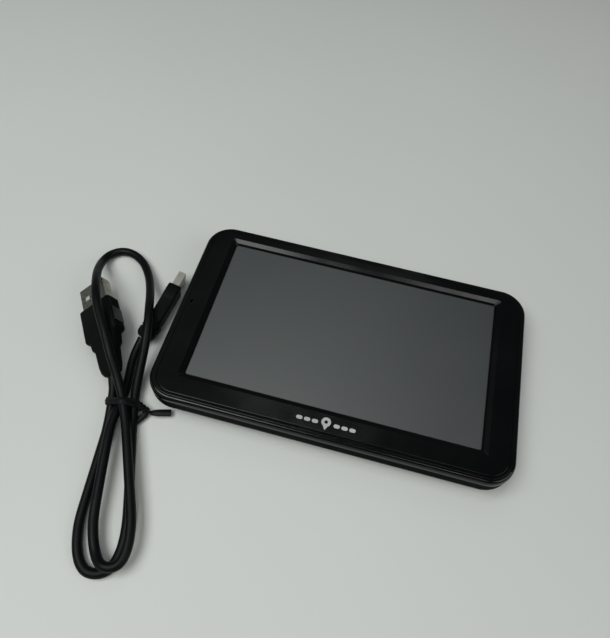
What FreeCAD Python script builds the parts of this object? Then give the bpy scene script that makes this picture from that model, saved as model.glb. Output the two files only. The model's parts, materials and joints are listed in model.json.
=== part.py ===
import FreeCAD, Part
import math
import os

# Portable GPS navigator, five-inch class, with its own USB charge and data lead.
# Millimetres. The back lies on Z = 0, the screen faces +Z, the long side runs along X and the
# top of the screen is towards +Y. The origin is the centre of the navigator's footprint.

# ---- driving dimensions of the navigator ----
WIDTH = 137.0
HEIGHT = 83.0
THICKNESS = 15.0
CORNER_R = 10.5
WALL = 1.6
BACK_FILLET = 8.0
PARTING_Z = 12.0
PARTING_GAP = 0.1

SCREEN_W = 111.4
SCREEN_H = 63.0
SCREEN_Y = 1.9
PANEL_W = 118.4
PANEL_H = 73.0

# The rim steps down twice on its way out from the bezel face.
RIM_W = 2.7
RIM_STEP_W = 1.75
RIM_GROOVE = 0.1
RIM_EDGE = (1.2, 2.4)
RIM_LEVELS = 7
RIM_Z = 14.6
RIM_STEP_Z = 14.8
FACE_Z = THICKNESS
LIP_Z = 13.5
LIP_UNDER_Z = 13.25
SURROUND_WALL = 0.6
SURROUND_BAND = 2.2
SURROUND_MID_Z = 14.2
CASE_LINE_Z = 9.2

# Layers between the bezel and the back, from the front to the rear.
PANEL_Z = (12.05, 13.2)
TAPE_Z = (11.8, 12.05)
GLASS_Z = (10.8, 11.8)
BACKLIGHT_Z = (9.05, 10.8)
CHASSIS_Z = (8.2, 9.0)
PCB_Z = (6.4, 7.4)
FLOOR_Z = WALL

SCREW_X = 62.3
SCREW_Y = 33.6
BOSS_R = 2.6
BOSS_SPLIT_Z = 8.3
SCREW_R = 0.95
SCREW_HOLE_R = 1.0
SCREW_HEAD_R = 1.9
COUNTERBORE_R = 2.2
COUNTERBORE_Z = 3.2

# Power key in the top wall. It travels towards -Y by 0.35, which the record's joint repeats.
KEY_X = 40.0
KEY_Z = 8.4
KEY_W = 11.0
KEY_H = 3.0
KEY_CLEARANCE = 0.15
KEY_FLANGE = (2.4, 1.0)
KEY_RELIEF = 0.3
KEY_FACE_Y = HEIGHT / 2 - 0.2

# Ports in the left wall.
USB_Y = 14.0
USB_SOCKET = (8.7, 7.7, 3.95)
USB_WALL = 0.35
SD_Y = -14.0
SD_SOCKET = (14.6, 14.6, 1.5)

BATTERY = (54.0, 34.0)
BATTERY_AT = (-14.0, -12.0)
SPEAKER = (26.0, 16.0)
SPEAKER_AT = (40.0, -15.0)
MIC_X = -63.95
MIC_SLOT = (1.2, 2.5)

# ---- driving dimensions of the USB lead ----
CABLE_D = 3.5
A_PLUG_AT = (-102.35, -7.9, 6.55)
A_PLUG_TURN = (125.7, 6.0, -28.0)
A_SHELL = (11.0, 12.0, 4.5)
A_MOULD = (17.0, 15.5, 6.8)
A_RELIEF_END = (-84.7, -34.4, 5.2)
MINI_PLUG_AT = (-76.35, 10.0, 4.58)
MINI_PLUG_TURN = (85.0, 2.0, 10.0)
MINI_SHELL = (7.0, 3.0, 6.8)
MINI_MOULD = (18.5, 5.6, 8.0)
MINI_RELIEF_END = (-80.6, -15.8, 3.9)
SHEET = 0.35

# The bundle: two long loops below the tie, whose outline is a tapered teardrop.
TIE_AT = (-76.6, -44.0)
BUNDLE_DIR = (0.264, -0.965)
NECK_HALF_W = 7.4
NECK_S = (-4.0, 6.0)
NECK_Z = (0.7, 9.3)
LOOPS_S = 47.5
LOOPS_T = 1.2
LOOPS_R = 14.0
LOOPS_Z = (0.0, 8.6)
TIE_W = 3.4
TIE_T = 0.65

# Cable routes, centre line, one point per bend.
MINI_TAIL = [
    (-80.6, -15.8, 3.9), (-81.2, -20.4, 2.7), (-81.0, -26.2, 1.95), (-79.6, -32.2, 1.95),
    (-78.4, -37.2, 2.8), (-77.7, -41.4, 3.7),
]
A_TAIL = [
    (-84.7, -34.4, 5.2), (-83.3, -37.4, 4.2), (-82.0, -40.6, 3.4),
]
TOP_LOOP = [
    (-77.1, -41.7, 7.2), (-79.4, -38.4, 8), (-82.3, -34.3, 10.4), (-85.8, -29.4, 13.8),
    (-89.8, -23.4, 15.6), (-94.8, -16.9, 16.4), (-98.8, -11.2, 16.9), (-101.8, -5.7, 16.6),
    (-105.4, 0.6, 13.7), (-109.5, 7.7, 8.7), (-112.3, 14.9, 3.9), (-111.6, 20.6, 2.15),
    (-107.4, 24.2, 1.85), (-101.8, 24.2, 1.85), (-95.6, 20.7, 2.15), (-90.7, 14.8, 3.4),
    (-86.7, 8.2, 5.6), (-83.2, 1.2, 8.8), (-80.2, -5.6, 11.8), (-77.8, -12.1, 12.4),
    (-76.4, -18.4, 10.8), (-75.7, -24.9, 7.6), (-75.3, -31.0, 4.7), (-74.4, -36.6, 3.2),
    (-73.2, -41.4, 2.8),
]


# ---- small helpers ----
def vec(x, y, z=0.0):
    return FreeCAD.Vector(x, y, z)


def outline(width, height, radius, z, at=(0.0, 0.0)):
    """Closed rectangle with round corners, in the plane at height z."""
    x, y = width / 2, height / 2
    corners = [(x, y, 0), (-x, y, 90), (-x, -y, 180), (x, -y, 270)]
    ends = []
    for cx, cy, start in corners:
        mx = cx - math.copysign(radius, cx)
        my = cy - math.copysign(radius, cy)
        arc = [
            vec(at[0] + mx + radius * math.cos(math.radians(start + turn)),
                at[1] + my + radius * math.sin(math.radians(start + turn)), z)
            for turn in (0, 45, 90)
        ]
        ends.append(arc)
    edges = []
    for i, arc in enumerate(ends):
        edges.append(Part.Arc(*arc).toShape())
        edges.append(Part.LineSegment(arc[2], ends[(i + 1) % 4][0]).toShape())
    return Part.Wire(edges)


def slab(width, height, radius, z0, z1, at=(0.0, 0.0)):
    return Part.Face(outline(width, height, radius, z0, at)).extrude(vec(0, 0, z1 - z0))


def block(x0, x1, y0, y1, z0, z1):
    return Part.makeBox(x1 - x0, y1 - y0, z1 - z0, vec(x0, y0, z0))


def centred(at, size, z0, z1):
    """A plain block centred on a point of the plan."""
    return block(at[0] - size[0] / 2, at[0] + size[0] / 2,
                 at[1] - size[1] / 2, at[1] + size[1] / 2, z0, z1)


def rod(x, y, radius, z0, z1):
    return Part.makeCylinder(radius, z1 - z0, vec(x, y, z0))


def slot_y(x, z, width, height, y0, y1):
    """A racetrack bar along Y, wide along X, for a key and for the slot that it sits in."""
    r = height / 2
    half = width / 2 - r
    bar = block(x - half, x + half, y0, y1, z - r, z + r)
    for side in (-half, half):
        bar = bar.fuse(Part.makeCylinder(r, y1 - y0, vec(x + side, y0, z), vec(0, 1, 0)))
    return bar.removeSplitter()


def level_edges(shape, z, within=None):
    """Edges of a shape that lie in the plane at height z, inside a half-size if one is given."""
    found = []
    for edge in shape.Edges:
        b = edge.BoundBox
        flat = abs(b.ZMin - z) < 1e-6 and abs(b.ZMax - z) < 1e-6
        inside = within is None or (max(abs(b.XMin), abs(b.XMax)) < within)
        if flat and inside:
            found.append(edge)
    return found


def corners():
    return [(sx * SCREW_X, sy * SCREW_Y) for sx in (-1, 1) for sy in (-1, 1)]


def save(name, *shapes):
    body = shapes[0] if len(shapes) == 1 else Part.makeCompound(list(shapes))
    body.exportStep(f"parts/{name}.step")


# ---- case ----
def rear_cover():
    """Tray with a rolled edge to its back, screw posts, grille, ports and cradle catches."""
    outer = slab(WIDTH, HEIGHT, CORNER_R, 0, PARTING_Z)
    outer = outer.makeFillet(BACK_FILLET, level_edges(outer, 0))
    inside_w, inside_h = WIDTH - 2 * WALL, HEIGHT - 2 * WALL
    inner = slab(inside_w, inside_h, CORNER_R - WALL, FLOOR_Z, PARTING_Z + 1)
    inner = inner.makeFillet(BACK_FILLET - WALL, level_edges(inner, FLOOR_Z))
    cover = outer.cut(inner)
    posts = [rod(x, y, BOSS_R, 0.3, BOSS_SPLIT_Z - 0.1).common(outer) for x, y in corners()]
    cover = cover.fuse(posts)
    cuts = [rod(x, y, COUNTERBORE_R, -1, COUNTERBORE_Z) for x, y in corners()]
    cuts += [rod(x, y, SCREW_R + 0.25, -1, PARTING_Z) for x, y in corners()]
    cuts += speaker_slots()
    cuts.append(slot_y(KEY_X, KEY_Z, KEY_W + 2 * KEY_CLEARANCE, KEY_H + 2 * KEY_CLEARANCE,
                       HEIGHT / 2 - 2 * WALL, HEIGHT / 2 + 1))
    cuts.append(key_relief())
    left = -WIDTH / 2
    usb_z = PCB_Z[1] + USB_SOCKET[2] / 2
    usb_half = USB_SOCKET[1] / 2 + 0.4
    cuts.append(block(left - 1, left + 2 * WALL, USB_Y - usb_half, USB_Y + usb_half,
                      usb_z - USB_SOCKET[2] / 2 - 0.05, usb_z + USB_SOCKET[2] / 2 + 0.3))
    cuts.append(block(left - 1, left + 2 * WALL, SD_Y - 5.8, SD_Y + 5.8,
                      PCB_Z[0] - SD_SOCKET[2] + 0.1, PCB_Z[0] - 0.1))
    cuts += cradle_catches()
    cuts.append(case_line())
    return cover.cut(cuts)


def key_relief():
    """Pocket in the rolled inside edge, so the power key's flange moves clear of it."""
    wall_in = HEIGHT / 2 - WALL
    width = KEY_W + KEY_FLANGE[0] + 2 * KEY_RELIEF
    height = KEY_H + KEY_FLANGE[1] + 2 * KEY_RELIEF
    return slot_y(KEY_X, KEY_Z, width, height, wall_in - 2.5, wall_in)


def case_line():
    """Fine moulded line round the sides of the case."""
    band = slab(WIDTH + 1, HEIGHT + 1, CORNER_R + 0.5, CASE_LINE_Z, CASE_LINE_Z + 0.25)
    return band.cut(slab(WIDTH - 0.4, HEIGHT - 0.4, CORNER_R - 0.2, 0, THICKNESS))


def speaker_slots():
    """Six rounded slots through the back, behind the speaker."""
    pitch, width, length = 3.2, 1.3, 11.0
    slots = []
    for i in range(6):
        x = SPEAKER_AT[0] + (i - 2.5) * pitch
        slots.append(slab(width, length, width / 2 - 0.01, -1, FLOOR_Z + 0.2, (x, SPEAKER_AT[1])))
    return slots


def cradle_catches():
    """Shallow pockets in the flat back where a car cradle's hooks and latch would sit."""
    places = [(-16.0, -31.0), (16.0, -31.0), (0.0, 32.0)]
    return [slab(8.0, 2.4, 0.6, -1, 0.9, at) for at in places]


def rim_edge():
    """The rim's outer edge: a quarter ellipse, taller than it is deep, all round the case."""
    sections = []
    for i in range(RIM_LEVELS + 1):
        angle = math.radians(90 * i / RIM_LEVELS)
        inset = RIM_EDGE[0] * (1 - math.cos(angle))
        z = RIM_Z - RIM_EDGE[1] * (1 - math.sin(angle))
        sections.append(outline(WIDTH - 2 * inset, HEIGHT - 2 * inset, CORNER_R - inset, z))
    return Part.makeLoft(sections, True, False)


def bezel_trim_ring():
    """Glossy outer rim between the case and the bezel face: a low step, then a round edge."""
    z0 = PARTING_Z + PARTING_GAP
    outer = slab(WIDTH, HEIGHT, CORNER_R, z0, RIM_Z - RIM_EDGE[1]).fuse(rim_edge())
    step = slab(WIDTH - 2 * RIM_STEP_W, HEIGHT - 2 * RIM_STEP_W, CORNER_R - RIM_STEP_W,
                RIM_Z - 0.5, RIM_STEP_Z)
    step = step.makeFillet(0.15, level_edges(step, RIM_STEP_Z))
    hole = slab(WIDTH - 2 * RIM_W, HEIGHT - 2 * RIM_W, CORNER_R - RIM_W, z0 - 1, THICKNESS + 1)
    return outer.fuse(step).cut(hole)


def front_bezel():
    """Face plate with the screen window, its sloping surround, panel seat and screw posts."""
    inset = 2 * (RIM_W + RIM_GROOVE)
    z0 = PARTING_Z + PARTING_GAP
    plate = slab(WIDTH - inset, HEIGHT - inset, CORNER_R - inset / 2, z0, FACE_Z)
    plate = plate.makeFillet(0.3, level_edges(plate, FACE_Z))
    at = (0.0, SCREEN_Y)
    window = slab(SCREEN_W, SCREEN_H, 0.6, z0 - 1, FACE_Z + 1, at)
    steps = [(0, LIP_Z, 0.6), (2 * SURROUND_WALL, SURROUND_MID_Z, 0.7),
             (2 * SURROUND_BAND, FACE_Z, 0.9)]
    rings = [outline(SCREEN_W + grow, SCREEN_H + grow, r, z, at) for grow, z, r in steps]
    lower = Part.makeLoft(rings[:2], True, True)
    upper = Part.makeLoft(rings[1:], True, True)
    seat = slab(PANEL_W + 0.4, PANEL_H + 0.4, 1.0, z0 - 1, LIP_UNDER_Z, at)
    bezel = plate.cut([window, lower, upper, seat])
    posts = [rod(x, y, BOSS_R, BOSS_SPLIT_Z, z0 + 0.3) for x, y in corners()]
    bezel = bezel.fuse(posts)
    holes = [rod(x, y, SCREW_HOLE_R, BOSS_SPLIT_Z - 1, FACE_Z - 1.2) for x, y in corners()]
    mic_slot = slab(MIC_SLOT[0], MIC_SLOT[1], MIC_SLOT[0] / 2 - 0.01, z0, FACE_Z + 1, (MIC_X, 0))
    mic_seat = centred((MIC_X, 0), (3.5, 5.1), z0 - 1, LIP_UNDER_Z)
    flex_way = block(32.4, 39.6, -37.7, -34.0, z0 - 1, PANEL_Z[0] + 0.9)
    return bezel.cut(holes + [mic_slot, mic_seat, flex_way])


def case_screws():
    """Four screws from the back into the bezel's posts."""
    screws = []
    for x, y in corners():
        head = rod(x, y, SCREW_HEAD_R, COUNTERBORE_Z - 1.4, COUNTERBORE_Z)
        shank = rod(x, y, SCREW_R, COUNTERBORE_Z, FACE_Z - 1.8)
        cross = [centred((x, y), (2.2, 0.5), 0, COUNTERBORE_Z - 0.8),
                 centred((x, y), (0.5, 2.2), 0, COUNTERBORE_Z - 0.8)]
        screws.append(head.fuse(shank).cut(cross))
    return screws


# ---- display stack ----
def display_layer(z, trim=0.0, radius=0.8):
    return slab(PANEL_W - trim, PANEL_H - trim, radius, z[0], z[1], (0.0, SCREEN_Y))


def lcd_adhesive_frame():
    hole = slab(SCREEN_W + 1.6, SCREEN_H + 1.6, 0.8, 0, THICKNESS, (0.0, SCREEN_Y))
    return display_layer(TAPE_Z, 0.4).cut(hole)


def backlight_unit():
    """Folded steel tray with the diffuser's recess in its front."""
    tray = display_layer(BACKLIGHT_Z)
    recess = slab(PANEL_W - 1.2, PANEL_H - 1.2, 0.5, BACKLIGHT_Z[0] + 0.3, THICKNESS,
                  (0.0, SCREEN_Y))
    return tray.cut(recess)


def backlight_diffuser():
    return slab(PANEL_W - 1.6, PANEL_H - 1.6, 0.4, BACKLIGHT_Z[0] + 0.35, BACKLIGHT_Z[1] - 0.05,
                (0.0, SCREEN_Y))


def flex(x, width, z_top):
    """Printed ribbon that turns round the chassis edge to its connector on the board."""
    thick, out_y, end_y = 0.25, -37.4, -29.6
    top_y = SCREEN_Y - PANEL_H / 2 - 0.05
    z_low = PCB_Z[1] + 0.25
    x0, x1 = x - width / 2, x + width / 2
    leaving = block(x0, x1, out_y, top_y, z_top - thick, z_top)
    turning = block(x0, x1, out_y, out_y + thick, z_low, z_top)
    returning = block(x0, x1, out_y, end_y, z_low, z_low + thick)
    return leaving.fuse([turning, returning]).removeSplitter()


# ---- chassis and board ----
def pcb_screw_places():
    return [(-48.0, 33.0), (55.0, 33.0), (-47.0, -28.0), (56.0, -28.0)]


def mid_frame():
    """Pressed sheet that carries the display in front and the board behind."""
    half_w, low, high = 59.2, -36.6, 38.2
    sheet = block(-half_w, half_w, low, high, *CHASSIS_Z)
    sheet = sheet.fuse([rod(x, y, 1.8, PCB_Z[1], CHASSIS_Z[0]) for x, y in pcb_screw_places()])
    cuts = [rod(x, y, 0.8, PCB_Z[1] - 1, CHASSIS_Z[1] + 1) for x, y in pcb_screw_places()]
    cuts.append(block(KEY_X - 3.2, KEY_X + 3.2, 33.4, high + 1, CHASSIS_Z[0] - 1, CHASSIS_Z[1] + 1))
    for x in (-30, 0, 30):
        cuts.append(slab(20, 34, 3, CHASSIS_Z[0] - 1, CHASSIS_Z[1] + 1, (x, 2)))
    return sheet.cut(cuts)


def main_pcb():
    board = block(-59.5, 59.5, -31, 37, *PCB_Z)
    board = board.fuse(block(-66.4, -59.4, -26, 26, *PCB_Z)).removeSplitter()
    return board.cut([rod(x, y, 0.85, PCB_Z[0] - 1, PCB_Z[1] + 1) for x, y in pcb_screw_places()])


def pcb_screws():
    made = []
    for x, y in pcb_screw_places():
        head = rod(x, y, 1.3, PCB_Z[0] - 0.9, PCB_Z[0])
        made.append(head.fuse(rod(x, y, 0.72, PCB_Z[0], CHASSIS_Z[1] - 0.1)))
    return made


def shield_can():
    at, size, sheet = (-22.0, 22.0), (36.0, 24.0), 0.2
    z0 = PCB_Z[0] - 2.1
    can = centred(at, size, z0, PCB_Z[0])
    inner = (size[0] - 2 * sheet, size[1] - 2 * sheet)
    return can.cut(centred(at, inner, z0 + sheet, PCB_Z[0] + 1))


def chip(at, size, height):
    return centred(at, size, PCB_Z[0] - height, PCB_Z[0])


def small_components():
    """Inductor, capacitors and regulator of the power supply."""
    made = [chip((46.0, 22.0), (6.0, 6.0), 2.8), chip((36.0, 27.0), (3.2, 2.6), 1.6)]
    made += [chip((36.0 + 3.0 * i, 19.0), (1.6, 0.9), 0.9) for i in range(3)]
    made += [chip((46.0, 9.0 + 2.2 * i), (2.0, 1.25), 1.1) for i in range(3)]
    return made


def gps_antenna():
    return chip((16.0, 24.0), (18.0, 18.0), 4.0)


def gps_antenna_patch():
    return centred((16.0, 24.0), (13.6, 13.6), PCB_Z[0] - 4.12, PCB_Z[0] - 4.0)


def battery_pouch():
    pouch = slab(BATTERY[0], BATTERY[1], 2.0, FLOOR_Z + 0.25, PCB_Z[0] - 0.35, BATTERY_AT)
    return pouch.makeFillet(0.8, level_edges(pouch, FLOOR_Z + 0.25))


def battery_tape():
    return centred(BATTERY_AT, (44.0, 12.0), FLOOR_Z, FLOOR_Z + 0.2)


def battery_connector():
    return block(15.5, 20.5, -4.2, 0.2, PCB_Z[0] - 2.3, PCB_Z[0])


def battery_lead():
    """Two insulated wires between the pouch and its connector."""
    start = BATTERY_AT[0] + BATTERY[0] / 2
    return [Part.makeCylinder(0.5, 15.5 - start, vec(start, y, 5.2), vec(1, 0, 0))
            for y in (-2.8, -1.2)]


def speaker_gasket():
    z = (FLOOR_Z, FLOOR_Z + 0.5)
    outer = slab(SPEAKER[0], SPEAKER[1], 6.0, z[0], z[1], SPEAKER_AT)
    return outer.cut(slab(SPEAKER[0] - 4, SPEAKER[1] - 4, 4.0, 0, 9, SPEAKER_AT))


def speaker_frame():
    z = (FLOOR_Z + 0.5, PCB_Z[0] - 0.45)
    basket = slab(SPEAKER[0], SPEAKER[1], 6.0, z[0], z[1], SPEAKER_AT)
    return basket.cut(slab(SPEAKER[0] - 4, SPEAKER[1] - 4, 4.0, 0, z[0] + 1.2, SPEAKER_AT))


def speaker_cone():
    z = FLOOR_Z + 0.6
    cone = slab(SPEAKER[0] - 4.6, SPEAKER[1] - 4.6, 3.7, z, z + 0.5, SPEAKER_AT)
    return cone.fuse(slab(10, 6, 2.8, z + 0.5, z + 1.0, SPEAKER_AT))


def speaker_contacts():
    x, y = SPEAKER_AT
    return [block(x - 1.5, x + 1.5, y + side - 0.5, y + side + 0.5, PCB_Z[0] - 0.45, PCB_Z[0])
            for side in (-4.0, 4.0)]


def microphone():
    return centred((MIC_X, 0), (2.0, 3.4), 11.7, 12.8)


def microphone_boot():
    boot = centred((MIC_X, 0), (3.3, 4.9), 11.5, LIP_UNDER_Z - 0.05)
    pocket = centred((MIC_X, 0), (2.1, 3.5), 11.0, 12.85)
    channel = centred((MIC_X, 0), (0.9, 2.0), 12, 14)
    return boot.cut([pocket, channel])


def fpc_connectors():
    return [block(x - w / 2, x + w / 2, -29.5, -26.5, PCB_Z[1], PCB_Z[1] + 0.7)
            for x, w in ((-6.0, 23.0), (36.0, 8.0))]


# ---- ports and key ----
def mini_usb_socket():
    """Folded steel shell, open to the left."""
    length, width, height = USB_SOCKET
    x0 = -WIDTH / 2 + 0.4
    z0 = PCB_Z[1]
    shell = block(x0, x0 + length, USB_Y - width / 2, USB_Y + width / 2, z0, z0 + height)
    hollow = block(x0 - 1, x0 + length - USB_WALL, USB_Y - width / 2 + USB_WALL,
                   USB_Y + width / 2 - USB_WALL, z0 + USB_WALL, z0 + height - USB_WALL)
    return shell.cut(hollow)


def mini_usb_tongue():
    x1 = -WIDTH / 2 + 0.4 + USB_SOCKET[0] - USB_WALL
    z = PCB_Z[1] + USB_SOCKET[2] / 2
    return block(x1 - 6.6, x1, USB_Y - 2.6, USB_Y + 2.6, z - 0.5, z + 0.5)


def microsd_socket():
    length, width, height = SD_SOCKET
    x0 = -WIDTH / 2 + WALL + 1.0
    shell = block(x0, x0 + length, SD_Y - width / 2, SD_Y + width / 2, PCB_Z[0] - height, PCB_Z[0])
    slot = block(x0 - 1, x0 + length - 1.2, SD_Y - 5.6, SD_Y + 5.6,
                 PCB_Z[0] - height + 0.25, PCB_Z[0] - 0.25)
    return shell.cut(slot)


def tact_switch():
    body = block(KEY_X - 2.4, KEY_X + 2.4, 34.0, 37.0, PCB_Z[1], CHASSIS_Z[1])
    return body.cut(block(KEY_X - 1.25, KEY_X + 1.25, 35.6, 38.0, KEY_Z - 0.45, KEY_Z + 0.45))


def switch_plunger():
    return block(KEY_X - 1.1, KEY_X + 1.1, 36.1, 38.1, KEY_Z - 0.35, KEY_Z + 0.35)


def power_key():
    """Racetrack key with a retaining flange behind the wall and a post to the switch."""
    wall_in = HEIGHT / 2 - WALL
    flange_y = wall_in - KEY_CLEARANCE
    cap = slot_y(KEY_X, KEY_Z, KEY_W, KEY_H, flange_y, KEY_FACE_Y)
    flange = slot_y(KEY_X, KEY_Z, KEY_W + KEY_FLANGE[0], KEY_H + KEY_FLANGE[1], flange_y - 0.7, flange_y)
    post = block(KEY_X - 1.0, KEY_X + 1.0, 38.1, flange_y - 0.7, KEY_Z - 0.5, KEY_Z + 0.35)
    return cap.fuse([flange, post]).removeSplitter()


# ---- USB lead ----
def placed(shape, at, turn):
    """Moves a plug's piece from its own frame, +X out of the plug, to where the plug lies."""
    moved = shape.copy()
    moved.Placement = FreeCAD.Placement(vec(*at), FreeCAD.Rotation(*turn))
    return moved


def plug_shell(size, holes):
    length, width, height = size
    shell = block(0, length, -width / 2, width / 2, -height / 2, height / 2)
    hollow = block(0.6, length + 1, -width / 2 + SHEET, width / 2 - SHEET,
                   -height / 2 + SHEET, height / 2 - SHEET)
    cuts = [hollow]
    for y in holes:
        cuts.append(block(4.2, 6.4, y - 1.1, y + 1.1, -height, height))
    return shell.cut(cuts)


def plug_mould(size, at, turn, relief_end, relief_r):
    """Rounded grip and, in one moulding with it, the tapered sleeve round the cable."""
    length, width, height = size
    grip = block(-length, 0, -width / 2, width / 2, -height / 2, height / 2)
    grip = placed(grip.makeFillet(1.2, grip.Edges), at, turn)
    start = grip_end(size, at, turn, 1.5)
    reach = vec(*relief_end) - start
    sleeve = Part.makeCone(relief_r[0], relief_r[1], reach.Length, start, reach)
    return grip.fuse(sleeve)


def grip_end(size, at, turn, inside):
    """The middle of a grip's cable end, a little inside it."""
    return FreeCAD.Placement(vec(*at), FreeCAD.Rotation(*turn)).multVec(vec(inside - size[0], 0, 0))


def tube(points, diameter):
    """A cable: straight runs joined by arcs as large as the runs allow. Prints its radii."""
    corners_ = [vec(*p) for p in points]
    edges, radii = [], []
    last = corners_[0]
    for before, corner, after in zip(corners_, corners_[1:], corners_[2:]):
        a, b = before - corner, after - corner
        run = min(a.Length, b.Length)
        a.normalize()
        b.normalize()
        half_turn = (math.pi - a.getAngle(b)) / 2
        cut = 0.45 * run
        radius = cut / math.tan(half_turn)
        bisector = a + b
        bisector.normalize()
        centre = corner + bisector * (radius / math.cos(half_turn))
        start, end = corner + a * cut, corner + b * cut
        edges.append(Part.LineSegment(last, start).toShape())
        edges.append(Part.Arc(start, centre - bisector * radius, end).toShape())
        radii.append(radius)
        last = end
    edges.append(Part.LineSegment(last, corners_[-1]).toShape())
    path = Part.Wire(edges)
    direction = corners_[1] - corners_[0]
    section = Part.Wire(Part.makeCircle(diameter / 2, corners_[0], direction))
    solid = path.makePipeShell([section], True, True)
    expected = math.pi * diameter ** 2 / 4 * path.Length
    print(f"tube: length {path.Length:.1f}, radii {min(radii):.1f} to {max(radii):.1f},"
          f" volume / (section x length) {solid.Volume / expected:.4f}")
    return solid


def bundle_point(s, t, z):
    """A point of the bundle: s along it from the tie, t across it to the right."""
    size = math.hypot(*BUNDLE_DIR)
    ax, ay = BUNDLE_DIR[0] / size, BUNDLE_DIR[1] / size
    return vec(TIE_AT[0] + ax * s - ay * t, TIE_AT[1] + ay * s + ax * t, z)


def bundle_prism(points, z):
    corners_ = [bundle_point(s, t, z[0]) for s, t in points]
    face = Part.Face(Part.makePolygon(corners_ + corners_[:1]))
    return face.extrude(vec(0, 0, z[1] - z[0]))


def usb_cable_hank():
    """Outer shape of the two tied loops: a neck under the tie that widens to a round end."""
    s0, s1 = NECK_S
    neck = bundle_prism([(s0, -NECK_HALF_W), (s0, NECK_HALF_W),
                         (s1, NECK_HALF_W), (s1, -NECK_HALF_W)], NECK_Z)
    reach = math.hypot(LOOPS_S - s1, NECK_HALF_W - LOOPS_R)
    lean = math.asin((LOOPS_R - NECK_HALF_W) / reach)
    touch = (LOOPS_S - LOOPS_R * math.sin(lean), LOOPS_R * math.cos(lean))
    start = TIE_W / 2 + 0.6
    legs = bundle_prism([(start, -NECK_HALF_W), (start, NECK_HALF_W),
                         (touch[0], LOOPS_T + touch[1]), (LOOPS_S, LOOPS_T),
                         (touch[0], LOOPS_T - touch[1])], LOOPS_Z)
    end = Part.makeCylinder(LOOPS_R, LOOPS_Z[1] - LOOPS_Z[0],
                            bundle_point(LOOPS_S, LOOPS_T, LOOPS_Z[0]))
    return neck.fuse([legs, end]).removeSplitter()


def twist_tie():
    """Flat wired strip once round the neck, twisted beside it, with one tail."""
    half, gap = TIE_W / 2, 0.02
    outer_t = NECK_HALF_W + gap + TIE_T
    z0, z1 = NECK_Z[0] - gap - TIE_T, NECK_Z[1] + gap + TIE_T
    band = bundle_prism([(-half, -outer_t), (-half, outer_t), (half, outer_t), (half, -outer_t)],
                        (z0, z1))
    inner_t = NECK_HALF_W + gap
    hole = bundle_prism([(-9, -inner_t), (-9, inner_t), (9, inner_t), (9, -inner_t)],
                        (NECK_Z[0] - gap, NECK_Z[1] + gap))
    knot_start, knot_end = bundle_point(0, outer_t - 0.4, 3.2), vec(-66.4, -43.4, 1.9)
    knot = Part.makeCone(1.5, 1.0, (knot_end - knot_start).Length, knot_start,
                         knot_end - knot_start)
    tail = Part.makeBox(9.2, 2.4, 0.7, vec(-66.9, -44.6, 1.4))
    tail.rotate(vec(-66.9, -43.4, 1.6), vec(0, 0, 1), 13)
    return band.cut(hole).fuse([knot, tail])


PARTS = {
    "rear_cover": rear_cover,
    "bezel_trim_ring": bezel_trim_ring,
    "front_bezel": front_bezel,
    "case_screws": case_screws,
    "touch_panel": lambda: display_layer(PANEL_Z),
    "lcd_adhesive_frame": lcd_adhesive_frame,
    "lcd_glass": lambda: display_layer(GLASS_Z, 0.6),
    "backlight_unit": backlight_unit,
    "backlight_diffuser": backlight_diffuser,
    "lcd_flex": lambda: flex(-6.0, 20.0, GLASS_Z[0] + 0.6),
    "touch_flex": lambda: flex(36.0, 6.0, PANEL_Z[0] + 0.7),
    "fpc_connectors": fpc_connectors,
    "mid_frame": mid_frame,
    "main_pcb": main_pcb,
    "pcb_screws": pcb_screws,
    "shield_can": shield_can,
    "processor_chip": lambda: chip((-30.0, 22.0), (13.0, 13.0), 1.2),
    "memory_chips": lambda: [chip((-14.0, y), (9.0, 8.0), 1.0) for y in (17.0, 27.0)],
    "small_components": small_components,
    "gps_antenna": gps_antenna,
    "gps_antenna_patch": gps_antenna_patch,
    "battery_pouch": battery_pouch,
    "battery_tape": battery_tape,
    "battery_connector": battery_connector,
    "battery_lead": battery_lead,
    "speaker_gasket": speaker_gasket,
    "speaker_frame": speaker_frame,
    "speaker_cone": speaker_cone,
    "speaker_contacts": speaker_contacts,
    "microphone": microphone,
    "microphone_boot": microphone_boot,
    "mini_usb_socket": mini_usb_socket,
    "mini_usb_tongue": mini_usb_tongue,
    "microsd_socket": microsd_socket,
    "tact_switch": tact_switch,
    "switch_plunger": switch_plunger,
    "power_key": power_key,
    "usb_a_shell": lambda: placed(plug_shell(A_SHELL, (-2.9, 2.9)), A_PLUG_AT, A_PLUG_TURN),
    "usb_a_insert": lambda: placed(block(0.62, 9.4, -5.1, 5.1, -0.1, 1.85),
                                   A_PLUG_AT, A_PLUG_TURN),
    "usb_a_overmould": lambda: plug_mould(A_MOULD, A_PLUG_AT, A_PLUG_TURN, A_RELIEF_END,
                                          (4.2, 2.7)),
    "mini_b_shell": lambda: placed(plug_shell(MINI_SHELL, ()), MINI_PLUG_AT, MINI_PLUG_TURN),
    "mini_b_insert": lambda: placed(block(0.62, 6.0, -1.1, 1.1, -2.6, 2.6),
                                    MINI_PLUG_AT, MINI_PLUG_TURN),
    "mini_b_overmould": lambda: plug_mould(MINI_MOULD, MINI_PLUG_AT, MINI_PLUG_TURN,
                                           MINI_RELIEF_END, (3.0, 2.6)),
    "usb_cable_mini_tail": lambda: tube(MINI_TAIL, CABLE_D),
    "usb_cable_a_tail": lambda: tube(A_TAIL, CABLE_D),
    "usb_cable_top_loop": lambda: tube(TOP_LOOP, CABLE_D),
    "usb_cable_hank": usb_cable_hank,
    "twist_tie": twist_tie,
}


def main():
    os.makedirs("parts", exist_ok=True)
    for name, make in PARTS.items():
        made = make()
        save(name, *(made if isinstance(made, list) else [made]))


main()
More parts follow.
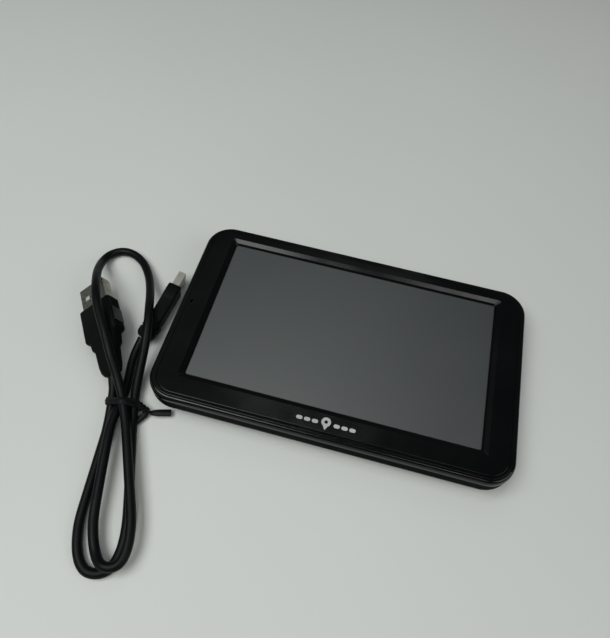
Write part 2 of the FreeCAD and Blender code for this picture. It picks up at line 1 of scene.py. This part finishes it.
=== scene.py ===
"""Looks of a portable GPS navigator and its tied USB lead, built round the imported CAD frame.

Lengths are in metres; the tables of the lead are in millimetres and pass through mm().
+X runs along the navigator's long side, +Y towards the top of its screen, +Z out of the screen.
"""
import json
import math

import bmesh
import bpy
from mathutils import Matrix, Vector


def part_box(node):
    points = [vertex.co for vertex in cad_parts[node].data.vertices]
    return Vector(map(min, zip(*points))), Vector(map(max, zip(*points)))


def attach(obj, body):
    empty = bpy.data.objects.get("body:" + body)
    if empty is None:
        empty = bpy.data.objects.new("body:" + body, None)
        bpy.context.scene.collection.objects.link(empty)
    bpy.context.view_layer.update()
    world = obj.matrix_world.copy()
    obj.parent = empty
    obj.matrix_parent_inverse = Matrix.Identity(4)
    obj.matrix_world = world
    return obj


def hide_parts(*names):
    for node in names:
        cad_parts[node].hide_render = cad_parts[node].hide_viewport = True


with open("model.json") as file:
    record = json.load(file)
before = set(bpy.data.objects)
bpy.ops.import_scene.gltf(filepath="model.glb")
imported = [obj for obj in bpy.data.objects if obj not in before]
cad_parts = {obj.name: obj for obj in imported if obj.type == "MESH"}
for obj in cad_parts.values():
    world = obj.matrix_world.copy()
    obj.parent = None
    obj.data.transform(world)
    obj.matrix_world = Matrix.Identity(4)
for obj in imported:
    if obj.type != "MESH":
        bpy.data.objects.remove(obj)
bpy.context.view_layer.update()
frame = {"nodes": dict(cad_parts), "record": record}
NODES = frame["nodes"]

MM = 0.001

# ---- the lead's sizes and places, as in the CAD ----
CABLE_D = 3.5
A_PLUG_AT = (-102.35, -7.9, 6.55)
A_PLUG_TURN = (125.7, 6.0, -28.0)
A_MOULD = (17.0, 15.5, 6.8)
A_RELIEF_END = (-84.7, -34.4, 5.2)
MINI_PLUG_AT = (-76.35, 10.0, 4.58)
MINI_PLUG_TURN = (85.0, 2.0, 10.0)
MINI_MOULD = (18.5, 5.6, 8.0)
MINI_RELIEF_END = (-80.6, -15.8, 3.9)
TIE_AT = (-76.6, -44.0)
BUNDLE_DIR = (0.264, -0.965)

# The tie's strip is narrower and thicker here than the plain band of the CAD.
TIE_W = 2.9
TIE_T = 0.8
KNOT_W = 3.0
SHORT_TAIL_W = 2.4

# The grip's dots and pad are on its narrow side. Distances run back from its front face.
DOT_R = 0.34
DOT_PITCH = 0.85
DOTS_FROM = 1.3
PAD_SIZE = (7.2, 5.6)
PAD_FROM = 9.9

# The print under the screen: where it is, the pin's two circles and the road's dashes.
EMBLEM_AT = (-0.2, -35.35)
PIN_R = 1.75
PIN_HOLE_R = 0.66
PIN_HEAD_Y = 0.65
PIN_TIP_Y = -2.45
DASH = (2.3, 1.4)
DASH_FROM = 4.0
DASH_PITCH = 2.9
PRINT_LEVELS = (-0.02, 0.03)

ROOM_COLOUR = (0.90, 0.97, 1.0, 1)
ROOM_STRENGTH = 0.09
FLOOR_HALF = 1.6
FLOOR_DROP = 0.0002

MINI_TAIL = [
    (-80.6, -15.8, 3.9), (-81.2, -20.4, 2.7), (-81.0, -26.2, 1.95), (-79.6, -32.2, 1.95),
    (-78.4, -37.2, 2.8), (-77.7, -41.4, 3.7),
]
A_TAIL = [
    (-84.7, -34.4, 5.2), (-83.3, -37.4, 4.2), (-82.0, -40.6, 3.4),
]
TOP_LOOP = [
    (-77.1, -41.7, 7.2), (-79.4, -38.4, 8), (-82.3, -34.3, 10.4), (-85.8, -29.4, 13.8),
    (-89.8, -23.4, 15.6), (-94.8, -16.9, 16.4), (-98.8, -11.2, 16.9), (-101.8, -5.7, 16.6),
    (-105.4, 0.6, 13.7), (-109.5, 7.7, 8.7), (-112.3, 14.9, 3.9), (-111.6, 20.6, 2.15),
    (-107.4, 24.2, 1.85), (-101.8, 24.2, 1.85), (-95.6, 20.7, 2.15), (-90.7, 14.8, 3.4),
    (-86.7, 8.2, 5.6), (-83.2, 1.2, 8.8), (-80.2, -5.6, 11.8), (-77.8, -12.1, 12.4),
    (-76.4, -18.4, 10.8), (-75.7, -24.9, 7.6), (-75.3, -31.0, 4.7), (-74.4, -36.6, 3.2),
    (-73.2, -41.4, 2.8),
]

# The two loops below the tie. Places are along (s) and across (t) the bundle, from the tie.
# heights pairs a share of the loop's points with the cable's height there.
LOWER_LOOP = dict(leave=3.6, arrive=-3.6, middle=-0.7, half=8.2, lean=0.4,
                  straight=42.0, reach=58.8, heights=[(0, 1.85), (1, 1.85)])
UPPER_LOOP = dict(leave=-2.6, arrive=1.2, middle=3.2, half=6.5, lean=1.6,
                  straight=42.0, reach=57.4,
                  heights=[(0, 5.4), (0.05, 5.7), (0.15, 5.7), (0.25, 4.7), (0.33, 4.1),
                           (0.38, 4.7), (0.44, 5.7), (0.5, 6.0), (1, 6.0)])


def mm(point):
    return Vector(point) * MM


def ramp(x, pairs):
    """Straight-line interpolation through pairs of (x, value)."""
    for (x0, y0), (x1, y1) in zip(pairs, pairs[1:]):
        if x <= x1:
            return y0 + (y1 - y0) * (x - x0) / (x1 - x0)
    return pairs[-1][1]


# ---- camera and stage ----
def camera():
    data = bpy.data.cameras.new("camera")
    data.lens = 31.1
    data.sensor_width = 36
    data.clip_start = 0.01
    obj = bpy.data.objects.new("camera", data)
    right = Vector((0.9674, 0.2487, 0.0480)).normalized()
    up = Vector((-0.2380, 0.8278, 0.5080))
    up = (up - right * up.dot(right)).normalized()
    back = right.cross(up)
    at = mm((0.77, -105.34, 203.30))
    obj.matrix_world = Matrix((
        (right.x, up.x, back.x, at.x),
        (right.y, up.y, back.y, at.y),
        (right.z, up.z, back.z, at.z),
        (0, 0, 0, 1)))
    bpy.context.scene.collection.objects.link(obj)
    bpy.context.scene.camera = obj


def area_light(name, at, aim, size, energy, colour):
    data = bpy.data.lights.new(name, "AREA")
    data.shape = "RECTANGLE"
    data.size, data.size_y = size
    data.energy = energy
    data.color = colour
    obj = bpy.data.objects.new(name, data)
    obj.location = at
    obj.rotation_euler = (Vector(aim) - Vector(at)).to_track_quat("-Z", "Y").to_euler()
    bpy.context.scene.collection.objects.link(obj)


def lighting():
    """A broad soft box overhead to the left, a fill from the right, weak accents, a dim room."""
    cool, plain = (0.95, 1.0, 0.980), (1.0, 0.99, 0.97)
    area_light("overhead", (-0.33, -0.30, 0.80), (-0.06, -0.12, 0), (0.66, 0.42), 5.4, cool)
    area_light("right", (0.80, -0.20, 0.70), (0, 0, 0), (0.6, 0.6), 1.9, plain)
    area_light("upper", (-0.02, 0.17, 0.32), (0.0, 0.09, 0), (0.20, 0.14), 0.045, cool)
    area_light("ceiling", (-0.28, 0.42, 0.85), (-0.10, 0.05, 0), (0.60, 0.30), 0.06, cool)
    area_light("soft", (-0.10, 0.08, 0.85), (-0.03, 0, 0), (0.26, 0.14), 0.6, cool)
    area_light("small", (0.21, -0.24, 0.80), (0.04, 0, 0), (0.22, 0.20), 0.52, plain)
    world = bpy.data.worlds.new("room")
    world.use_nodes = True
    background = world.node_tree.nodes["Background"]
    background.inputs["Color"].default_value = ROOM_COLOUR
    background.inputs["Strength"].default_value = ROOM_STRENGTH
    bpy.context.scene.world = world
    bpy.context.scene.view_settings.view_transform = "Standard"


# ---- materials ----
class Shader:
    """A node material: one principled shader and short calls for what feeds it."""

    def __init__(self, name, colour, roughness, metallic=0.0, specular=0.5):
        self.material = bpy.data.materials.new(name)
        self.material.use_nodes = True
        self.tree = self.material.node_tree
        self.main = self.tree.nodes["Principled BSDF"]
        self.main.inputs["Base Color"].default_value = (*colour, 1)
        self.main.inputs["Roughness"].default_value = roughness
        self.main.inputs["Metallic"].default_value = metallic
        self.main.inputs["Specular IOR Level"].default_value = specular
        self.place = self.tree.nodes.new("ShaderNodeTexCoord").outputs["Object"]

    def link(self, source, socket):
        self.tree.links.new(source, socket)

    def node(self, kind, **values):
        made = self.tree.nodes.new(kind)
        for name, value in values.items():
            setattr(made, name, value)
        return made

    def noise(self, size, detail=3.0, rough=0.5, stretch=(1, 1, 1)):
        """Noise whose features are about size metres across."""
        mapping = self.node("ShaderNodeMapping")
        mapping.inputs["Scale"].default_value = [s / size for s in stretch]
        self.link(self.place, mapping.inputs["Vector"])
        made = self.node("ShaderNodeTexNoise")
        made.inputs["Scale"].default_value = 1.0
        made.inputs["Detail"].default_value = detail
        made.inputs["Roughness"].default_value = rough
        self.link(mapping.outputs["Vector"], made.inputs["Vector"])
        return made.outputs["Fac"]

    def between(self, fac, low, high, start=0.3, end=0.7):
        """A number that runs from low to high as fac runs from start to end."""
        made = self.node("ShaderNodeMapRange")
        made.inputs["From Min"].default_value = start
        made.inputs["From Max"].default_value = end
        made.inputs["To Min"].default_value = low
        made.inputs["To Max"].default_value = high
        self.link(fac, made.inputs["Value"])
        return made.outputs["Result"]

    def mix(self, fac, first, second):
        """A colour between two colours, each a tuple or another node's output."""
        made = self.node("ShaderNodeMix", data_type="RGBA")
        self.link(fac, made.inputs["Factor"])
        for socket, value in ((made.inputs[6], first), (made.inputs[7], second)):
            if isinstance(value, tuple):
                socket.default_value = (*value, 1)
            else:
                self.link(value, socket)
        return made.outputs[2]

    def colour(self, source):
        self.link(source, self.main.inputs["Base Color"])

    def roughness(self, source):
        self.link(source, self.main.inputs["Roughness"])

    def bump(self, height, depth):
        made = self.node("ShaderNodeBump")
        made.inputs["Distance"].default_value = depth
        made.inputs["Strength"].default_value = 1.0
        self.link(height, made.inputs["Height"])
        self.link(made.outputs["Normal"], self.main.inputs["Normal"])


def moulded_plastic(name, colour, roughness, grain=0.00018, depth=0.00001, specular=0.5):
    """Spark-eroded moulding: fine grain, soft gloss patches from handling and a little dust."""
    s = Shader(name, colour, roughness, specular=specular)
    s.bump(s.noise(grain, 2.0), depth)
    s.roughness(s.between(s.noise(0.018, 4.0), roughness - 0.06, roughness + 0.07))
    lift = tuple(c * 1.5 + 0.0006 for c in colour)
    s.colour(s.mix(s.between(s.noise(0.03, 5.0, 0.6), 0.0, 0.6), colour, lift))
    return s.material


def floor_material():
    """Painted white board with very soft tone changes and a few faint scuffs."""
    s = Shader("floor_white", (0.60, 0.61, 0.60), 0.55, specular=0.3)
    tone = s.mix(s.between(s.noise(0.25, 2.0), 0.0, 1.0), (0.586, 0.592, 0.581),
                 (0.626, 0.628, 0.611))
    marks = s.between(s.noise(0.012, 6.0, 0.75, (1.0, 3.0, 1.0)), 0.0, 0.35, 0.70, 0.80)
    s.colour(s.mix(marks, tone, (0.50, 0.48, 0.45)))
    s.bump(s.noise(0.0009, 3.0), 0.00002)
    return s.material


def screen_material():
    """Anti-glare film over an unlit panel: sparkle-fine grain, broad matt reflection."""
    s = Shader("screen_film", (0.026, 0.0290, 0.0295), 0.43, specular=1.2)
    s.bump(s.noise(0.00009, 2.0), 0.000003)
    s.roughness(s.between(s.noise(0.02, 3.0), 0.41, 0.45))
    return s.material


def cable_material():
    """Satin PVC jacket: faint fine grain and rubbed, dusty patches."""
    s = Shader("cable_black", (0.002, 0.0027, 0.0032), 0.46, specular=0.14)
    s.bump(s.noise(0.0005, 3.0), 0.000012)
    s.roughness(s.between(s.noise(0.006, 4.0), 0.40, 0.51))
    s.colour(s.mix(s.between(s.noise(0.004, 5.0, 0.7), 0.0, 0.5), (0.0012, 0.0018, 0.0022),
                   (0.0035, 0.0045, 0.0052)))
    return s.material


def metal(name, colour, roughness, brushed=(1, 1, 1), depth=0.000004):
    s = Shader(name, colour, roughness, metallic=1.0)
    s.roughness(s.between(s.noise(0.0012, 4.0, 0.6, brushed), roughness - 0.08, roughness + 0.12))
    s.bump(s.noise(0.0002, 2.0, 0.5, brushed), depth)
    darker = tuple(c * 0.78 for c in colour)
    s.colour(s.mix(s.between(s.noise(0.003, 4.0), 0.0, 0.7), colour, darker))
    return s.material


def make_materials():
    """One material per slot of the record: given one by one where it shows, else from its class."""
    made = {
        "case_black": moulded_plastic("case_black", (0.0018, 0.0026, 0.0028), 0.60, 0.0003,
                                      0.00001, 0.02),
        "rim_black": moulded_plastic("rim_black", (0.0005, 0.0006, 0.0007), 0.10, 0.002,
                                     0.000002, 0.36),
        "bezel_black": moulded_plastic("bezel_black", (0.0005, 0.0011, 0.0011), 0.19, 0.0002,
                                       0.000003, 0.27),
        "screen_film": screen_material(),
        "cable_black": cable_material(),
        "lead_black": moulded_plastic("lead_black", (0.0024, 0.0025, 0.0028), 0.58, 0.0003, 0.00002,
                                      0.08),
        "tie_black": moulded_plastic("tie_black", (0.0035, 0.0040, 0.0044), 0.50, 0.0004,
                                     0.00002, 0.15),
        "plug_nickel": metal("plug_nickel", (0.50, 0.47, 0.41), 0.29, (0.3, 3, 3), 0.000001),
        "connector_ivory": moulded_plastic("connector_ivory", (0.36, 0.36, 0.33), 0.5),
        "tinned_steel": metal("tinned_steel", (0.52, 0.51, 0.45), 0.40, (0.3, 3, 3), 0.000002),
        "silver_plate": moulded_plastic("silver_plate", (0.33, 0.34, 0.34), 0.45),
    }
    classes = {m["slot"]: m for m in frame["record"]["materials"]}
    for slot, entry in classes.items():
        if slot in made:
            continue
        colour = tuple(entry["base_color"][:3])
        if entry["class"] in ("brushed_steel", "aluminium", "brass"):
            made[slot] = metal(slot, colour, 0.32)
        elif entry["class"] == "glass":
            made[slot] = moulded_plastic(slot, colour, 0.12, 0.004, 0.000001)
        else:
            made[slot] = moulded_plastic(slot, colour, 0.5)
    return made


MATERIALS = make_materials()


def dress_cad_nodes():
    for part in frame["record"]["subparts"]:
        obj = NODES[part["node"]]
        obj.data.materials.clear()
        obj.data.materials.append(MATERIALS[part["material_slot"]])


# ---- mesh helpers ----
def new_object(name, mesh, slot, body, smooth=True):
    obj = bpy.data.objects.new(name, mesh)
    bpy.context.scene.collection.objects.link(obj)
    mesh.materials.append(MATERIALS[slot])
    if smooth:
        for face in mesh.polygons:
            face.use_smooth = len(face.vertices) <= 4
    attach(obj, body)
    return obj


def loft(name, rings):
    """A closed mesh through rings of equal length."""
    bm = bmesh.new()
    made = [[bm.verts.new(p) for p in ring] for ring in rings]
    count = len(made[0])
    for a, b in zip(made, made[1:]):
        for i in range(count):
            j = (i + 1) % count
            bm.faces.new((a[i], a[j], b[j], b[i]))
    bm.faces.new(made[0][::-1])
    bm.faces.new(made[-1])
    bmesh.ops.recalc_face_normals(bm, faces=bm.faces)
    mesh = bpy.data.meshes.new(name)
    bm.to_mesh(mesh)
    bm.free()
    return mesh


def rounded_section(width, height, radius, steps=6):
    """Points of a rectangle with round corners, as (across, up)."""
    radius = min(radius, width / 2 - 0.01, height / 2 - 0.01)
    points = []
    for k, (sx, sy) in enumerate(((1, 1), (-1, 1), (-1, -1), (1, -1))):
        for i in range(steps + 1):
            a = math.radians(90 * (k + i / steps))
            points.append((sx * (width / 2 - radius) + radius * math.cos(a),
                           sy * (height / 2 - radius) + radius * math.sin(a)))
    return points


def plug_matrix(at, turn):
    yaw, pitch, roll = (math.radians(a) for a in turn)
    return (Matrix.Translation(Vector(at)) @ Matrix.Rotation(yaw, 4, "Z")
            @ Matrix.Rotation(pitch, 4, "Y") @ Matrix.Rotation(roll, 4, "X"))


# ---- the lead ----
def bundle_point(s, t, z):
    size = math.hypot(*BUNDLE_DIR)
    ax, ay = BUNDLE_DIR[0] / size, BUNDLE_DIR[1] / size
    return (TIE_AT[0] + ax * s - ay * t, TIE_AT[1] + ay * s + ax * t, z)


def tied_loop(leave, arrive, middle, half, lean, straight, reach, heights, legs=4, turns=11):
    """Control points of one loop below the tie: a leg, a blunt round end and a leg back."""
    blunt = 0.82
    side = 1 if leave > arrive else -1
    places = []
    for i in range(1, legs + 1):
        share = i / (legs + 1)
        places.append((share * straight, leave + (middle + side * half - leave) * share))
    for i in range(turns):
        a = math.pi * i / (turns - 1)
        along = math.sin(a) ** blunt
        across = math.copysign(abs(math.cos(a)) ** blunt, math.cos(a))
        places.append((straight + (reach - straight) * along,
                       middle + lean * along + side * half * across))
    for i in range(legs, 0, -1):
        share = i / (legs + 1)
        places.append((share * straight, arrive + (middle - side * half - arrive) * share))
    last = len(places) - 1
    return [bundle_point(s, t, ramp(i / last, heights)) for i, (s, t) in enumerate(places)]


def lead_route():
    return (MINI_TAIL + tied_loop(**UPPER_LOOP) + TOP_LOOP + tied_loop(**LOWER_LOOP)
            + A_TAIL[::-1])


def lead_cable():
    points = [mm(p) for p in lead_route()]
    curve = bpy.data.curves.new("lead_cable", "CURVE")
    curve.dimensions = "3D"
    spline = curve.splines.new("NURBS")
    spline.points.add(len(points) - 1)
    for control, p in zip(spline.points, points):
        control.co = (*p, 1)
    spline.order_u = 3
    spline.use_endpoint_u = True
    curve.resolution_u = 16
    curve.bevel_depth = CABLE_D / 2 * MM
    curve.bevel_resolution = 8
    curve.use_fill_caps = True
    curve.materials.append(MATERIALS["cable_black"])
    obj = bpy.data.objects.new("lead_cable", curve)
    bpy.context.scene.collection.objects.link(obj)
    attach(obj, "usb_lead")
    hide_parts("usb_cable_mini_tail", "usb_cable_a_tail", "usb_cable_top_loop",
                "usb_cable_hank")
    return obj


def plug_moulding(name, node, at, turn, length, relief_end, stations):
    """A grip and its stepped strain relief, lofted through stations.

    A station is (distance from the front face, width, height, corner radius). Past the grip's
    length, the stations follow the line to the relief's end and turn towards it.
    """
    place = plug_matrix(at, turn)
    axis = place.to_3x3() @ Vector((-1, 0, 0))
    knee = Vector(at) + axis * length
    end = Vector(relief_end)
    total = length + (end - knee).length
    leaving = (end - knee).normalized()
    rings = []
    for d, width, height, radius in stations:
        share = max(0.0, (d - length) / (total - length))
        centre = Vector(at) + axis * d if d <= length else knee + leaving * (d - length)
        turn_to = axis.rotation_difference(leaving)
        spin = Matrix.Identity(3).to_quaternion().slerp(turn_to, min(1.0, share * 2.5))
        side = spin @ (place.to_3x3() @ Vector((0, 1, 0)))
        up = spin @ (place.to_3x3() @ Vector((0, 0, 1)))
        rings.append([(centre + side * a + up * b) * MM
                      for a, b in rounded_section(width, height, radius)])
    obj = new_object(name, loft(name, rings), "lead_black", "usb_lead")
    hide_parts(node)
    return obj


def usb_a_moulding():
    length, w, h = A_MOULD
    stations = [
        (0.0, w - 1.6, h - 1.6, 1.0), (0.25, w - 0.8, h - 0.7, 1.2), (0.8, w, h, 1.3),
        (16.0, w, h, 1.3), (16.7, w - 0.8, h - 0.5, 1.4), (17.0, w - 2.6, h - 1.0, 1.5),
        (17.4, 12.2, 6.2, 1.6), (20.6, 11.6, 6.2, 1.7), (21.2, 11.0, 5.9, 1.8),
        (22.1, 9.8, 5.6, 1.9), (22.9, 9.7, 5.7, 2.0), (28.6, 9.0, 5.6, 2.1),
        (31.2, 8.0, 5.3, 2.3), (32.4, 6.3, 4.7, 2.3), (32.9, 4.2, 4.1, 2.0),
    ]
    return plug_moulding("usb_a_moulding", "usb_a_overmould", A_PLUG_AT, A_PLUG_TURN, length,
                         A_RELIEF_END, stations)


def mini_b_moulding():
    length, w, h = MINI_MOULD
    stations = [
        (0.0, w - 0.9, h - 0.9, 0.7), (0.15, w - 0.4, h - 0.4, 0.8), (0.5, w, h, 0.8),
        (5.7, w, h, 0.8), (6.5, w, h - 0.5, 0.8), (7.3, w, h - 0.9, 0.8),
        (7.9, w, h - 1.0, 0.8), (14.6, w, h - 0.9, 0.9), (16.8, w, h - 1.0, 1.1),
        (18.0, w - 0.3, h - 1.6, 1.4), (18.5, w - 0.9, h - 2.4, 1.6), (18.8, 5.6, 5.6, 1.8),
        (19.3, 6.0, 5.8, 2.0), (19.6, 7.4, 6.4, 2.2), (21.5, 7.4, 6.3, 2.2),
        (21.8, 6.6, 5.8, 2.2), (22.3, 6.6, 5.8, 2.2), (22.6, 7.4, 6.2, 2.4),
        (24.9, 6.8, 5.8, 2.4), (25.5, 5.9, 5.1, 2.2), (26.1, 4.9, 4.5, 2.1),
    ]
    return plug_moulding("mini_b_moulding", "mini_b_overmould", MINI_PLUG_AT, MINI_PLUG_TURN,
                         length, MINI_RELIEF_END, stations)


def grip_dots():
    """Rows of small raised dots on the USB-A grip's narrow side, near the metal shell."""
    place = plug_matrix(A_PLUG_AT, A_PLUG_TURN)
    bm = bmesh.new()
    for row in range(5):
        for column in range(6):
            x = -DOTS_FROM - DOT_PITCH * column - 0.42 * (row % 2)
            z = (row - 2) * DOT_PITCH
            at = place @ Vector((x, -A_MOULD[1] / 2, z))
            bmesh.ops.create_icosphere(bm, subdivisions=2, radius=DOT_R * MM,
                                       matrix=Matrix.Translation(at * MM))
    mesh = bpy.data.meshes.new("grip_dots")
    bm.to_mesh(mesh)
    bm.free()
    return new_object("grip_dots", mesh, "lead_black", "usb_lead")


def thumb_pad():
    """A smooth, slightly raised pad on the USB-A grip's narrow side, behind the dots."""
    place = plug_matrix(A_PLUG_AT, A_PLUG_TURN)
    rings = []
    for out, inset in ((-0.3, 0.0), (0.12, 0.0), (0.22, 0.12)):
        outline = rounded_section(PAD_SIZE[0] - 2 * inset, PAD_SIZE[1] - 2 * inset, 0.7)
        rings.append([mm(place @ Vector((a - PAD_FROM, -A_MOULD[1] / 2 - out, b)))
                      for a, b in outline])
    return new_object("thumb_pad", loft("thumb_pad", rings), "bezel_black", "usb_lead")


# ---- twist tie ----
def hull(points):
    """Convex hull of plane points, anticlockwise."""
    points = sorted(points)
    chains = []
    for ordered in (points, points[::-1]):
        chain = []
        for p in ordered:
            while len(chain) > 1 and (
                    (chain[-1][0] - chain[-2][0]) * (p[1] - chain[-2][1])
                    - (chain[-1][1] - chain[-2][1]) * (p[0] - chain[-2][0])) <= 0:
                chain.pop()
            chain.append(p)
        chains += chain[:-1]
    return chains


def ribbon(name, points, widths, twists, thick, start_up):
    """A flat wired strip along points, with a ridge over its wire. Twists are in turns."""
    count = len(points)
    rings = []
    for i, p in enumerate(points):
        ahead = Vector(points[min(i + 1, count - 1)]) - Vector(points[max(i - 1, 0)])
        ahead.normalize()
        side = ahead.cross(start_up).normalized()
        up = side.cross(ahead)
        a = 2 * math.pi * twists[i]
        across = side * math.cos(a) + up * math.sin(a)
        over = up * math.cos(a) - side * math.sin(a)
        w, h = widths[i] / 2, thick / 2
        profile = [(-w, 0), (-w * 0.9, h * 0.6), (-w * 0.4, h * 0.6), (0, h * 1.7),
                   (w * 0.4, h * 0.6), (w * 0.9, h * 0.6), (w, 0), (w * 0.9, -h * 0.6),
                   (w * 0.4, -h * 0.6), (0, -h * 1.7), (-w * 0.4, -h * 0.6), (-w * 0.9, -h * 0.6)]
        rings.append([(Vector(p) + across * x + over * y) * MM for x, y in profile])
    return loft(name, rings)


def smooth_path(points, steps=10):
    """Points along a Catmull-Rom curve through the given ones."""
    pts = [Vector(p) for p in points]
    pts = [pts[0] * 2 - pts[1]] + pts + [pts[-1] * 2 - pts[-2]]
    out = []
    for a, b, c, d in zip(pts, pts[1:], pts[2:], pts[3:]):
        for i in range(steps):
            u = i / steps
            out.append(0.5 * ((2 * b) + (c - a) * u + (2 * a - 5 * b + 4 * c - d) * u * u
                              + (3 * b - 3 * c + d - a) * u ** 3))
    out.append(pts[-2])
    return out


def tie_sway(t):
    """How far the band's middle line lies along the bundle, at a place across it."""
    return 0.7 - 0.04 * (t - 0.8) ** 2


def tie_band():
    """The strip's one turn round the cables, pulled tight over them."""
    strands = [(-4.5, 3.2), (-1.3, 4.0), (0.8, 7.0), (3.9, 2.7)]
    clear = CABLE_D / 2 + 0.12
    around = hull([(t + clear * math.cos(a), z + clear * math.sin(a))
                   for t, z in strands
                   for a in (2 * math.pi * k / 24 for k in range(24))])
    rows = [(-1.0, 0.0), (-0.85, 0.45), (-0.35, 0.50), (0.0, 0.85), (0.35, 0.50), (0.85, 0.45),
            (1.0, 0.0)]
    bm = bmesh.new()
    loops = []
    for along, lift in rows:
        ring = []
        for i, (t, z) in enumerate(around):
            before, after = around[i - 1], around[(i + 1) % len(around)]
            out = Vector((after[1] - before[1], before[0] - after[0])).normalized()
            p = bundle_point(along * TIE_W / 2 + tie_sway(t), t + out.x * lift * TIE_T,
                             max(0.15, z + out.y * lift * TIE_T))
            ring.append(bm.verts.new(mm(p)))
        loops.append(ring)
    inner = []
    for along in (1.0, -1.0):
        inner.append([bm.verts.new(mm(bundle_point(
            along * TIE_W / 2 + tie_sway(t), t, max(0.1, z))))
            for t, z in around])
    loops += inner + [loops[0]]
    count = len(around)
    for a, b in zip(loops, loops[1:]):
        for i in range(count):
            j = (i + 1) % count
            bm.faces.new((a[i], a[j], b[j], b[i]))
    bmesh.ops.recalc_face_normals(bm, faces=bm.faces)
    mesh = bpy.data.meshes.new("tie_band")
    bm.to_mesh(mesh)
    bm.free()
    obj = new_object("tie_band", mesh, "tie_black", "usb_lead")
    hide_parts("twist_tie")
    return obj


def tie_ends():
    """The twisted knot beside the bundle, its long flat tail and its short one."""
    up = Vector((0, 0, 1))
    knot = [(-72.0, -42.6, 4.4), (-70.4, -42.9, 4.0), (-68.6, -43.5, 3.2), (-66.8, -44.1, 2.6)]
    long_tail = [(-67.4, -43.8, 2.8), (-65.4, -44.0, 2.2), (-62.6, -43.2, 2.0), (-58.3, -41.9, 1.7)]
    short_tail = [(-67.0, -43.6, 2.6), (-67.6, -45.4, 2.0), (-68.8, -47.4, 1.6),
                  (-70.0, -49.2, 1.2)]
    made = []
    for k, phase in enumerate((0.0, 0.25)):
        path = smooth_path(knot, 8)
        n = len(path) - 1
        twists = [phase + 1.2 * i / n for i in range(n + 1)]
        made.append(ribbon(f"tie_knot_{k + 1}", path, [KNOT_W] * (n + 1), twists, TIE_T * 1.2, up))
    path = smooth_path(long_tail)
    n = len(path) - 1
    widths = [1.4 + 1.4 * min(1.0, 1.6 * i / n) for i in range(n + 1)]
    made.append(ribbon("tie_long_tail", path, widths,
                       [0.35 * (1 - min(1.0, 2.2 * i / n)) for i in range(n + 1)],
                       TIE_T, up))
    path = smooth_path(short_tail)
    n = len(path) - 1
    made.append(ribbon("tie_short_tail", path, [SHORT_TAIL_W] * (n + 1),
                       [0.1 - 0.1 * i / n for i in range(n + 1)], TIE_T, up))
    return [new_object(m.name, m, "tie_black", "usb_lead") for m in made]


# ---- navigator ----
def emblem():
    """Generic raised print under the screen: a map pin on a dashed road."""
    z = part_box("front_bezel")[1].z / MM
    cx, cy = EMBLEM_AT
    bottom, top = PRINT_LEVELS
    bm = bmesh.new()

    def level(points, height):
        return [bm.verts.new(mm((cx + x, cy + y, z + height))) for x, y in points]

    def wall(first, second):
        for i in range(len(first)):
            j = (i + 1) % len(first)
            bm.faces.new((first[i], first[j], second[j], second[i]))

    def plate(points, hole=None):
        low, high = level(points, bottom), level(points, top)
        wall(low, high)
        if hole is None:
            bm.faces.new(low[::-1])
            bm.faces.new(high)
            return
        inner_low, inner_high = level(hole, bottom), level(hole, top)
        wall(high, inner_high)
        wall(inner_high, inner_low)
        wall(inner_low, low)

    pin = [(0.0, PIN_TIP_Y)]
    for i in range(32):
        a = math.radians(-60 + 300 * i / 31)
        pin.append((PIN_R * math.cos(a), PIN_HEAD_Y + PIN_R * math.sin(a)))
    hole = []
    for x, y in pin:
        a = math.atan2(y - PIN_HEAD_Y, x)
        hole.append((PIN_HOLE_R * math.cos(a), PIN_HEAD_Y + PIN_HOLE_R * math.sin(a)))
    plate(pin, hole)
    for side in (-1, 1):
        for k in range(3):
            plate(dash(side * (DASH_FROM + DASH_PITCH * k)))
    bmesh.ops.recalc_face_normals(bm, faces=bm.faces)
    mesh = bpy.data.meshes.new("emblem_print")
    bm.to_mesh(mesh)
    bm.free()
    return new_object("emblem_print", mesh, "silver_plate", "navigator", smooth=False)


def dash(x):
    """Outline of one dash of the road, centred at x."""
    width, height = DASH
    return [(x + a, b) for a, b in rounded_section(width, height, height / 2 - 0.02)]


def floor():
    mesh = bpy.data.meshes.new("floor")
    corners = [(x * FLOOR_HALF, y * FLOOR_HALF, 0)
               for x, y in ((-1, -1), (1, -1), (1, 1), (-1, 1))]
    mesh.from_pydata(corners, [], [(0, 1, 2, 3)])
    mesh.materials.append(floor_material())
    obj = bpy.data.objects.new("floor", mesh)
    obj.location.z = -FLOOR_DROP
    bpy.context.scene.collection.objects.link(obj)


def main():
    camera()
    cable = lead_cable()
    dress_cad_nodes()
    plug_pieces = [usb_a_moulding(), mini_b_moulding(), grip_dots(), thumb_pad()]
    tie_pieces = [tie_band()] + tie_ends()
    emblem()
    floor()
    lighting()


main()
